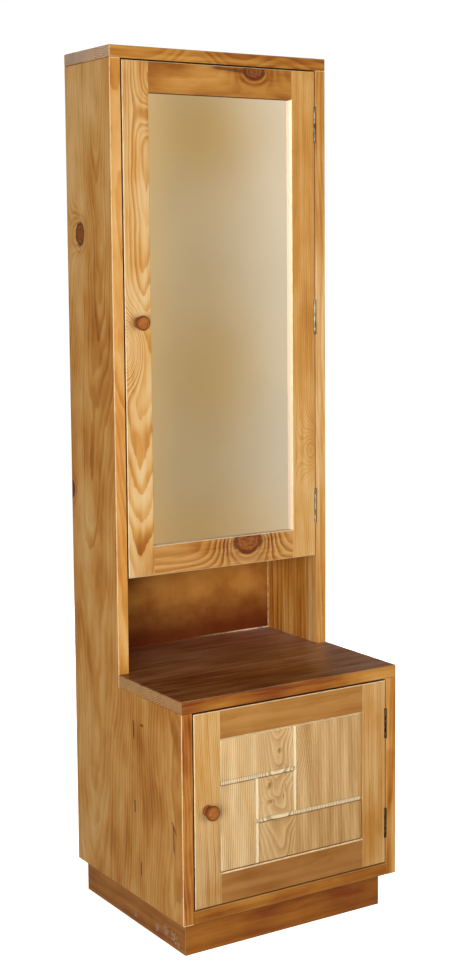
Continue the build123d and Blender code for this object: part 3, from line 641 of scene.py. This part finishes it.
def bell(distance, width):
    """1 at distance 0, falling away over about width."""
    return np.exp(-((distance / width) ** 2))


def ring_profile(phase):
    """0 in the soft early wood, rising to 1 in the hard late wood, which ends sharply."""
    part = phase - np.floor(phase)
    rise = np.clip((part - 0.2) / 0.55, 0, 1)
    fall = np.clip((1.0 - part) / 0.14, 0, 1)
    return rise * rise * (3 - 2 * rise) * fall * fall * (3 - 2 * fall)


def ring_line(phase):
    """1 in the thin dark line where one year's late wood ends."""
    part = phase - np.floor(phase)
    return bell(part - 0.97, 0.09) + bell(part + 0.03, 0.09)


PANEL_GAP = 1.0  # open joint round the panel
PANEL_GRID = 0.9  # the fine mesh's spacing
LEFT_RING, MIDDLE_RING, RIGHT_RING = 4.4, 4.6, 3.9  # a year's growth in each of the three boards
COVE_HALF_WIDTH = 5.0
COVE_DEPTH = 3.4
LEVEL_DIRT = 4.2  # from a level groove's middle line down to the painted shade under its edge
UPRIGHT_DIRT = 4.6  # from an upright groove's middle line to the painted shade beside it
LEFT_SEAM, RIGHT_SEAM = -87.5, 4.5  # the upright grooves, where the three boards meet
GROOVE_INSET = 88.0  # the level grooves, in from the panel's top and bottom
# Small knots (x, z, half width, half height) and cracks (x, from z, to z) in the middle board.
BURRS = ((-56.0, 325.0, 5.0, 9.0), (-58.0, 290.0, 9.0, 4.0), (-34.0, 392.0, 3.0, 4.0))
PANEL_CRACKS = ((-18.0, 336.0, 362.0), (-18.6, 304.0, 320.0), (-24.0, 290.0, 300.0))


def panel_rings(x, z, high_groove):
    """The ring phase of the panel's three boards, and the dark marks of its small knots."""
    drift = waves(x, z, 60, 260, 1)
    left_phase = (x + 1.6 * drift + 0.012 * z) / LEFT_RING
    bend = 9.0 * np.exp(-(((z - high_groove - 30) / 34) ** 2) - ((x - RIGHT_SEAM - 16) / 26) ** 2)
    right_phase = (x + 1.3 * drift - 0.01 * z + bend) / RIGHT_RING
    depth_to_pith = 36.0 - 0.17 * (z - 300) + 2.5 * waves(x, z, 90, 120, 2)
    depth_to_pith = depth_to_pith + 2.2 * waves(x, z, 26, 44, 6)
    middle_phase = np.hypot(x + 34 + 7 * drift, depth_to_pith) / MIDDLE_RING
    knot_tone = np.zeros_like(x)
    for knot_x, knot_z, radius_x, radius_z in BURRS:
        near = np.exp(-(((x - knot_x) / radius_x) ** 2 + ((z - knot_z) / radius_z) ** 2) * 0.5)
        middle_phase = middle_phase + 1.6 * near
        knot_tone = np.maximum(knot_tone, near**2)
    phase = np.where(x < LEFT_SEAM, left_phase, np.where(x > RIGHT_SEAM, right_phase, middle_phase))
    return phase, knot_tone


def cove(distance, outside, edge):
    """A groove's hollow, from the distance to its middle line and how far past its end."""
    reach = np.hypot(distance, np.maximum(outside, 0)) / (COVE_HALF_WIDTH + edge)
    return np.sqrt(np.clip(1 - reach**2, 0, 1))


def slab(name, face, grid_shape, back):
    """A closed mesh with a relief face, a flat rim and a flat back."""
    count_z, count_x = grid_shape
    rim_front = (
        list(range(count_x))
        + [j * count_x + count_x - 1 for j in range(1, count_z)]
        + [(count_z - 1) * count_x + i for i in range(count_x - 2, -1, -1)]
        + [j * count_x for j in range(count_z - 2, 0, -1)]
    )
    rim_back = face[rim_front].copy()
    rim_back[:, 1] = back
    index = np.arange(count_x * count_z).reshape(count_z, count_x)
    corners = [index[:-1, :-1], index[:-1, 1:], index[1:, 1:], index[1:, :-1]]
    faces = np.stack(corners, axis=-1).reshape(-1, 4).tolist()
    quads = len(faces)
    start, rim = len(face), len(rim_front)
    for k in range(rim):
        after = (k + 1) % rim
        faces.append([rim_front[after], rim_front[k], start + k, start + after])
    faces.append([start + k for k in range(rim)][::-1])
    mesh = bpy.data.meshes.new(name)
    mesh.from_pydata((np.concatenate([face, rim_back]) * MM).tolist(), [], faces)
    mesh.polygons.foreach_set("use_smooth", [True] * quads + [False] * (len(faces) - quads))
    return mesh, rim


def brushed_pine():
    """The panel's wood: the relief's own layers give its tone, its limed grooves and its darkening,
    which is partly painted shade.
    """
    g = Graph("brushed_pine")
    layers = {}
    for name in ("ring", "groove", "tone", "dirt"):
        layers[name] = Term(g, g.node("ShaderNodeAttribute", attribute_name=name).outputs["Fac"])
    fibre = g.noise((1.0, 1.0, 30), 3.0, 2.0)
    value = layers["tone"] + layers["ring"] * 0.27 + fibre * 0.16 + 0.41
    colour = pine_tone(g, value, PANEL_TONES)
    colour = g.mix(g.smooth(layers["groove"], 0.3, 0.8) * 0.75, colour, srgb(255, 236, 192))
    # Darkened by the dark layer: painted shade under and beside the grooves' edges, and dark cracks and
    # ring lines.
    colour = g.mix(layers["dirt"] * 0.95, colour, srgb(84, 46, 12))
    g.bump(fibre, 0.12)
    return g.finish(colour, 0.55, specular=0.3)


def brushed_panel():
    """The panel's visible block: three glued boards, brushed so that the late wood stands proud."""
    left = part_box("lower_door_knob_stile")[1].x / MM + PANEL_GAP
    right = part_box("lower_door_hinge_stile")[0].x / MM - PANEL_GAP
    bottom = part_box("lower_door_bottom_rail")[1].z / MM + PANEL_GAP
    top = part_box("lower_door_top_rail")[0].z / MM - PANEL_GAP
    panel_low, panel_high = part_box("lower_door_panel")
    front, back = panel_low.y / MM, panel_high.y / MM
    xs = np.linspace(left, right, int((right - left) / PANEL_GRID))
    zs = np.linspace(bottom, top, int((top - bottom) / PANEL_GRID))
    x, z = np.meshgrid(xs, zs)

    high_groove, low_groove = top - GROOVE_INSET, bottom + GROOVE_INSET
    in_left, in_right = x < LEFT_SEAM, x > RIGHT_SEAM
    middle = ~in_left & ~in_right
    phase, knot_tone = panel_rings(x, z, high_groove)
    ring = ring_profile(phase)
    ring = np.where(middle, 0.18 + 0.6 * ring, ring)

    # The grooves: the late wood overhangs the level ones, and the upright ones have ragged edges.
    level_edge = 0.9 * (ring - 0.4)
    level = np.maximum(
        cove(z - high_groove, x - RIGHT_SEAM, level_edge),
        cove(z - low_groove, LEFT_SEAM - x, level_edge),
    )
    ragged = 0.35 * waves(x, z, 9, 14, 3)
    upright = np.maximum(
        cove(x - LEFT_SEAM, z - high_groove, ragged),
        cove(x - RIGHT_SEAM, low_groove - z, ragged),
    )
    groove = np.maximum(level, upright)
    edge = np.minimum.reduce([x - xs[0], xs[-1] - x, z - zs[0], zs[-1] - z])
    eased = np.clip(1 - edge / 1.6, 0, 1) ** 2 * 0.9
    brushed = 0.95 * (1 - ring) + 0.12 * waves(x, z, 2.2, 40, 4)

    # Darkening: painted shade under the level grooves' edges and beside the upright ones, darker soft
    # wood inside the level grooves, dark cracks, dark lines along the rings and a dark line by the right
    # edge.
    below_high = bell(z - high_groove + LEVEL_DIRT + level_edge, 0.9) * (x < RIGHT_SEAM)
    below_low = bell(z - low_groove + LEVEL_DIRT + level_edge, 0.9) * (x > LEFT_SEAM)
    beside_left = bell(np.abs(x - LEFT_SEAM) - UPRIGHT_DIRT - ragged, 0.8) * (z < high_groove - 4)
    beside_right = bell(np.abs(x - RIGHT_SEAM) - UPRIGHT_DIRT - ragged, 0.8) * (z > low_groove + 4)
    cracks = sum(
        bell(x - at - 0.02 * (z - low), 0.7) * (z > low) * (z < high) for at, low, high in PANEL_CRACKS
    )
    ring_dirt = ring_line(phase) * (1 - upright) * np.where(middle, 0.2, 0.44)
    dirt = np.maximum.reduce([
        below_high, below_low, 0.5 * beside_left, 0.5 * beside_right, 0.9 * cracks,
        level * (1 - ring) ** 2 * 0.85, ring_dirt, 0.8 * bell(xs[-1] - x - 0.6, 0.9),
    ])
    worn_side = np.minimum.reduce([x - xs[0], z - zs[0], zs[-1] - z])
    groove = np.maximum(groove, np.clip(1.9 - worn_side, 0, 1))
    cells = level * (ring - 0.5) * -1.9
    depth = 0.15 + brushed * (1 - 0.75 * upright) + groove * COVE_DEPTH + cells + eased
    depth = np.clip(depth, 0.02, 6.0)

    face = np.stack([x, front + depth, z], axis=-1).reshape(-1, 3)
    mesh, rim = slab("lower_door_brushed_panel", face, x.shape, back)
    board_tone = np.where(in_left, 0.12, np.where(in_right, -0.06, 0.04))
    board_tone = board_tone - 0.1 * (z < low_groove) * ~in_left
    tone = board_tone + 0.1 * waves(x, z, 14, 150, 5) - 0.45 * knot_tone
    layers = (("ring", ring, 0.5), ("groove", groove, 0.0), ("tone", tone, 0.0), ("dirt", dirt, 0.0))
    for name, values, rest in layers:
        layer = mesh.attributes.new(name, "FLOAT", "POINT")
        whole = np.concatenate([values.ravel(), np.full(rim, rest)])
        layer.data.foreach_set("value", whole.astype(np.float32))
    panel = bpy.data.objects.new("lower_door_brushed_panel", mesh)
    bpy.context.scene.collection.objects.link(panel)
    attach(panel, "lower_door")
    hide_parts("lower_door_panel")
    mesh.materials.append(brushed_pine())


brushed_panel()


# ---- other materials ----
def plywood():
    """The back panel: clear of stain inside the cupboards, with painted shade towards the niche's
    corners.
    """
    niche_floor = counter_box[1].z / MM
    niche_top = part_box("mirror_door_knob_stile")[0].z / MM
    inner_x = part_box("side_panel_right")[0].x / MM
    g = Graph("back_ply")
    cloud = g.noise((70, 70, 60), 1.0, 4.0)
    grain = g.noise((6, 6, 90), 2.0, 3.0)
    x, _, z = g.split(g.mm)
    inside = g.smooth(g.split(g.place.outputs["Normal"])[1], 0, -0.5)
    above_counter = g.smooth(z, niche_floor - 0.5, niche_floor + 0.5)
    in_niche = g.smooth(z, niche_top, niche_top - 9) * above_counter * inside
    figure = cloud * (in_niche * 0.7 + 0.3) + grain * (0.6 - in_niche * 0.48)
    colour = g.mix(g.smooth(figure, -0.6, 0.6), srgb(160, 98, 36), srgb(194, 134, 62))
    # Painted shade in the niche: darker just above the counter, towards the left side and under the
    # mirror door, all in a dark red.
    low = g.smooth(z + cloud * 22.0, niche_floor + 124, niche_floor + 14)
    aside = g.smooth(x + cloud * 40.0, 20, -inner_x + 2)
    aside = aside * g.smooth(z, niche_floor + 74, niche_top - 24) * 0.8
    high = g.smooth(z + cloud * 14.0, niche_top - 49, niche_top) * 0.5
    deep = g.math("MAXIMUM", low, g.math("MAXIMUM", aside, high))
    colour = g.mix(deep * in_niche * 0.92, colour, srgb(92, 30, 6))
    rub = g.noise((9, 9, 12), 5.0, 2.0)
    by_side = g.smooth(x, inner_x - 2.4, inner_x - 1.4)
    by_counter = g.smooth(z, niche_floor + 3.5, niche_floor + 2) * g.smooth(x, 20, 200)
    corner = g.math("MAXIMUM", by_side, by_counter)
    colour = g.mix(corner * in_niche * (g.smooth(rub, -0.4, 0.2) * 0.5 + 0.35), colour, PALE)
    g.bump(grain, 0.1)
    return g.finish(colour, 0.7, specular=0.1)


def metal(name, colour, dark, roughness, size=2.5):
    """Metal with darker worn patches about size millimetres wide."""
    g = Graph(name)
    worn = g.noise((size, size, size * 3), 3.0, 4.0, 0.6)
    shade = g.smooth(worn, -0.35, 0.35)
    g.bump(worn, 0.05)
    return g.finish(g.mix(shade, dark, colour), 0.2 * shade + roughness, metallic=1.0)


def plastic(name, colour, dark):
    """A matt, speckled surface."""
    g = Graph(name)
    speck = g.noise((0.6, 0.6, 0.6), 1.0, 2.0)
    g.bump(speck, 0.03)
    return g.finish(g.mix(g.smooth(speck, -0.5, 0.5), dark, colour), 0.5)


def looking_glass():
    """Silvered glass, with a very faint haze."""
    g = Graph("mirror_silver")
    haze = g.noise((160, 160, 160), 4.0, 2.0)
    silver = g.mix(g.smooth(haze, -0.5, 0.5), (0.80, 0.78, 0.74, 1), (0.84, 0.82, 0.78, 1))
    return g.finish(silver, 0.06, metallic=1.0)


def knob_wood(knob):
    """Dark turned wood, darker on every face that doesn't look forward and on the rim round the dome."""
    g = Graph(knob + "_wood")
    low, high = [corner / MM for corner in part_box(knob)]
    rings = g.noise((1.6, 12, 5), 2.0, 3.0)
    colour = g.mix(g.smooth(rings, -0.4, 0.4), srgb(150, 82, 28), srgb(186, 114, 50))
    x, _, z = g.split(g.mm)
    u, v = x - (low.x + high.x) / 2, z - (low.z + high.z) / 2
    reach = g.math("SQRT", u * u + v * v)
    facing = g.smooth(g.split(g.place.outputs["Normal"])[1], -0.55, -0.85)
    # Darker where the surface turns away from the front and on the rim round the dome.
    stain = g.math("MAXIMUM", 1.0 - facing, g.smooth(reach, 10.5, 13.5))
    colour = g.mix(stain * 0.7, colour, srgb(112, 50, 24))
    g.bump(rings, 0.05)
    return g.finish(colour, 0.55, coat=0.04, coat_roughness=0.3, specular=0.2)


def named(*endings, start=""):
    """The CAD nodes whose names begin and end so."""
    return [name for name in nodes if name.startswith(start) and name.endswith(endings)]


steel = metal("hinge_steel", srgb(206, 196, 176), srgb(34, 24, 14), 0.3, size=4.0)
dark_steel = metal("dark_steel", srgb(124, 108, 84), srgb(22, 15, 8), 0.4, size=3.0)
zinc = metal("zinc_screws", srgb(206, 200, 184), srgb(150, 140, 120), 0.28)
dress("back_panel", plywood())
dress("mirror_glass", looking_glass())
dress("mirror_backing_board", plastic("backing_board", srgb(150, 120, 88), srgb(126, 98, 70)))
for knob in named("_knob"):
    dress(knob, knob_wood(knob))
dress(named("_leaf", "_pin", start="mirror"), steel)
dress(named("_leaf", "_pin", start="lower"), dark_steel)
dress(named("_strike"), steel)
dress(named("_screw", "_screws", "bead_pins"), zinc)
dress(named("_magnet"), metal("catch_magnet", srgb(96, 94, 92), srgb(60, 58, 56), 0.4))
dress(named("_case"), plastic("catch_plastic", srgb(120, 78, 48), srgb(104, 66, 40)))
dress("shelf_supports", metal("shelf_brass", srgb(214, 170, 90), srgb(150, 108, 52), 0.25))


# ---- floor, light and what the mirror sees ----
def stage_plane(name, corners, material):
    """A flat sheet that stands in the studio and isn't part of the object."""
    mesh = bpy.data.meshes.new(name)
    mesh.from_pydata(corners, [], [(0, 1, 2, 3)])
    plane = bpy.data.objects.new(name, mesh)
    bpy.context.scene.collection.objects.link(plane)
    mesh.materials.append(material)
    return plane


def pale_floor(half=12):
    """White to the eye, and it adds nothing to the light or the reflections."""
    g = Graph("floor")
    g.finish((0.8, 0.79, 0.77, 1), 0.9, specular=0.1)
    g.shader.inputs["Emission Color"].default_value = (1, 0.985, 0.96, 1)
    g.shader.inputs["Emission Strength"].default_value = 0.92
    corners = [(-half, -half, 0), (half, -half, 0), (half, half, 0), (-half, half, 0)]
    floor = stage_plane("floor", corners, g.material)
    floor.visible_glossy = False
    floor.visible_diffuse = False


# Warmer patches on the reflector: (across, up, half width, half height, colour)
CARD_PATCHES = (
    (2190, 1950, 280, 240, (0.92, 0.79, 0.53, 1)),
    (2230, 840, 280, 340, (0.97, 0.86, 0.62, 1)),
    (2200, 60, 500, 220, (1.06, 0.92, 0.68, 1)),
)


def reflector(y=-3.6, half_width=4.5, bottom=-1, top=3.5):
    """A glowing card behind the camera, toned far to its right, painted for the mirror to reflect; only
    reflections show it.
    """
    g = Graph("mirror_card")
    across, _, up = g.split(g.mm)
    tone = g.mix(g.smooth(across, 1850, 2080), srgb(214, 184, 134), srgb(192, 170, 133))
    tone = g.mix(g.smooth(across, 2130, 2760), tone, srgb(233, 217, 191))
    tone = g.scale(tone, g.smooth(up, -300, 2300) * 0.25 + 0.9)
    for patch_x, patch_z, reach_x, reach_z, patch in CARD_PATCHES:
        near = g.spot((across - patch_x) / reach_x, (up - patch_z) / reach_z)
        tone = g.mix(near, tone, patch, "MULTIPLY")
    g.finish((0, 0, 0, 1), 1.0, specular=0.0)
    g.feed(g.shader.inputs["Emission Color"], tone)
    g.shader.inputs["Emission Strength"].default_value = 1.0
    outline = ((-half_width, bottom), (half_width, bottom), (half_width, top), (-half_width, top))
    card = stage_plane("mirror_card", [(x, y, z) for x, z in outline], g.material)
    card.visible_camera = False
    card.visible_diffuse = False
    card.visible_shadow = False
    card.visible_transmission = False
    return card


def studio_world(white=0.8, ambient=0.24, from_above=-0.12, in_glints=-0.1):
    """White to the eye, but it lights the wood little, and less from above than from the sides."""
    world = bpy.data.worlds.new("studio")
    world.use_nodes = True
    tree = world.node_tree

    def multiply_add(value, factor, addend):
        made = tree.nodes.new("ShaderNodeMath")
        made.operation = "MULTIPLY_ADD"
        for socket, given in zip(made.inputs, (value, factor, addend)):
            if isinstance(given, float):
                socket.default_value = given
            else:
                tree.links.new(given, socket)
        return made.outputs[0]

    path = tree.nodes.new("ShaderNodeLightPath")
    way = tree.nodes.new("ShaderNodeTexCoord")
    parts = tree.nodes.new("ShaderNodeSeparateXYZ")
    tree.links.new(way.outputs["Generated"], parts.inputs[0])
    strength = multiply_add(parts.outputs["Z"], from_above, ambient)
    strength = multiply_add(path.outputs["Is Camera Ray"], white, strength)
    strength = multiply_add(path.outputs["Is Glossy Ray"], in_glints, strength)
    backdrop = tree.nodes["Background"]
    backdrop.inputs["Color"].default_value = (1, 1, 1, 1)
    tree.links.new(strength, backdrop.inputs["Strength"])
    bpy.context.scene.world = world


def softbox(name, location, target, size, power, reflected=False):
    """A square area light at location, facing target."""
    light = bpy.data.lights.new(name, "AREA")
    light.size = size
    light.energy = power
    lamp = bpy.data.objects.new(name, light)
    direction = Vector(target) - Vector(location)
    turn = direction.to_track_quat("-Z", "Y").to_matrix().to_4x4()
    lamp.matrix_world = Matrix.Translation(location) @ turn
    bpy.context.scene.collection.objects.link(lamp)
    lamp.visible_glossy = reflected
    return lamp


def linked(name, thing):
    """A collection that holds one object, for light linking."""
    group = bpy.data.collections.new(name)
    group.objects.link(thing)
    return group


pale_floor()
card = reflector()
studio_world()
softbox("key", (0.3, -2.5, 1.2), (0, 0, 1.1), size=1.2, power=23)
softbox("left", (-2.3, -2.2, 1.1), (0, 0, 1.0), size=1.4, power=64, reflected=True)
softbox("right", (3.0, 0.6, 1.3), (0, 0, 1.0), size=1.6, power=50)
softbox("back", (0.5, 3.1, 1.3), (0, 0, 1.0), size=1.6, power=60)

# Stands in for light that the mirror may throw on the edge beside it. No real lamp could do this: it
# lights the hinge stile alone, and nothing shades it, as its one blocker, the card, casts no shadow.
bounce = softbox("bounce", (-0.85, 0.046, 1.8), (0.175, 0.046, 1.7), size=0.2, power=9)
bounce.light_linking.receiver_collection = linked("bounce_lit", nodes["mirror_door_hinge_stile"])
bounce.light_linking.blocker_collection = linked("bounce_shades", card)

bpy.context.scene.view_settings.view_transform = "Standard"
